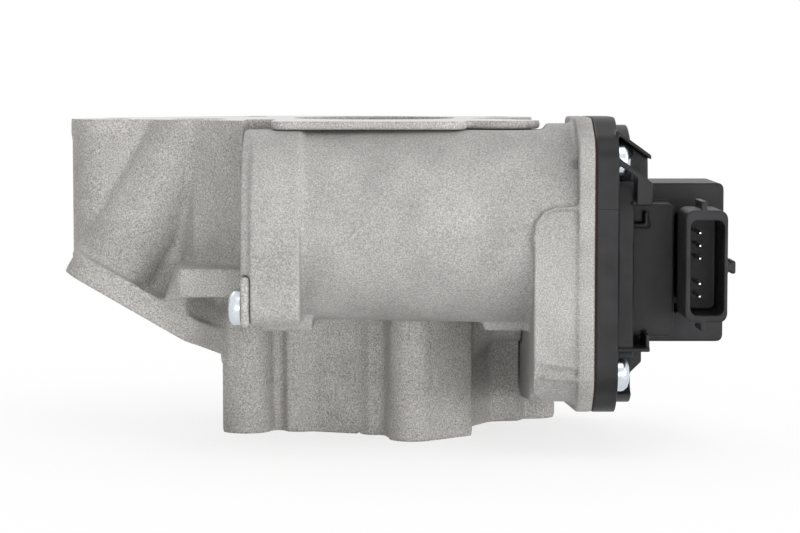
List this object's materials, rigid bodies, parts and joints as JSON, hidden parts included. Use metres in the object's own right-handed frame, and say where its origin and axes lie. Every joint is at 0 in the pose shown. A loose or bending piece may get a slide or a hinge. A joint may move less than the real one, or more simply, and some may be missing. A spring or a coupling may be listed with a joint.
{
  "type": "exhaust gas recirculation valve",
  "caption": "Electric exhaust-gas flap valve: cast body with a flanged gas way, motor and gear case on its side, moulded cover with a plug socket.",
  "frame": {"origin": "centre of the main gas port in the machined top face", "axes": "+Z out of the top face, +X along the motor and shafts towards the gear cover, -Y towards the motor side"},
  "size_m": [0.1727, 0.11, 0.0862],
  "materials": {
    "cast_body": "sand-cast, matt",
    "die_cast": "die-cast, matt",
    "cover_plastic": "glass-filled, fine grain",
    "zinc_steel": "bright zinc",
    "steel": "ground steel",
    "can_steel": "drawn steel",
    "gasket_rubber": "moulded rubber",
    "seal_rubber": "moulded rubber",
    "bronze": "sintered bronze",
    "copper": "enamelled copper",
    "pin_tin": "tinned",
    "magnet": "ferrite",
    "carbon": "pressed carbon",
    "gear_plastic": "moulded nylon",
    "board_green": "solder-masked board"
  },
  "bodies": {
    "housing": {"valve_body": "cast_body", "actuator_housing": "die_cast", "gear_cover": "cover_plastic", "connector_pins": "pin_tin", "cover_gasket": "gasket_rubber", "cover_screws": "zinc_steel", "housing_screws": "zinc_steel", "motor_can": "can_steel", "motor_end_cap": "can_steel", "motor_magnets": "magnet", "motor_bearings": "bronze", "brush_plate": "gear_plastic", "brushes": "carbon", "intermediate_pin": "steel", "far_bush": "bronze", "near_bush": "bronze", "shaft_seal": "seal_rubber", "shaft_bearing": "steel", "end_plug": "steel", "neck_o_ring": "seal_rubber", "return_spring": "steel", "sensor_board": "board_green"},
    "rotor": {"motor_shaft": "steel", "armature_core": "can_steel", "armature_winding": "copper", "commutator": "copper", "motor_pinion": "steel"},
    "idler": {"intermediate_gear": "gear_plastic"},
    "flap": {"output_shaft": "steel", "flap_disc": "steel", "flap_screws": "steel", "sector_gear": "gear_plastic", "position_magnet": "magnet"}
  },
  "joints": [
    {"name": "motor_turn", "type": "hinge", "parent": "housing", "child": "rotor", "pos_m": [0, -0.04, -0.0266], "axis": [1, 0, 0], "range_deg": [0, 1593.75]},
    {"name": "idler_turn", "type": "hinge", "parent": "housing", "child": "idler", "pos_m": [0, -0.02424, -0.04778], "axis": [1, 0, 0], "range_deg": [-354.67, 0]},
    {"name": "flap_turn", "type": "hinge", "parent": "housing", "child": "flap", "pos_m": [0, 0, -0.053], "axis": [1, 0, 0], "range_deg": [0, 85.1], "stiffness_Nm_per_rad": 0.08, "springref_deg": -20.05, "deforming": ["return_spring"]}
  ],
  "couplings": [
    {"joint": "idler_turn", "follows": "motor_turn", "ratio": -0.22222},
    {"joint": "flap_turn", "follows": "motor_turn", "ratio": 0.053333}
  ]
}
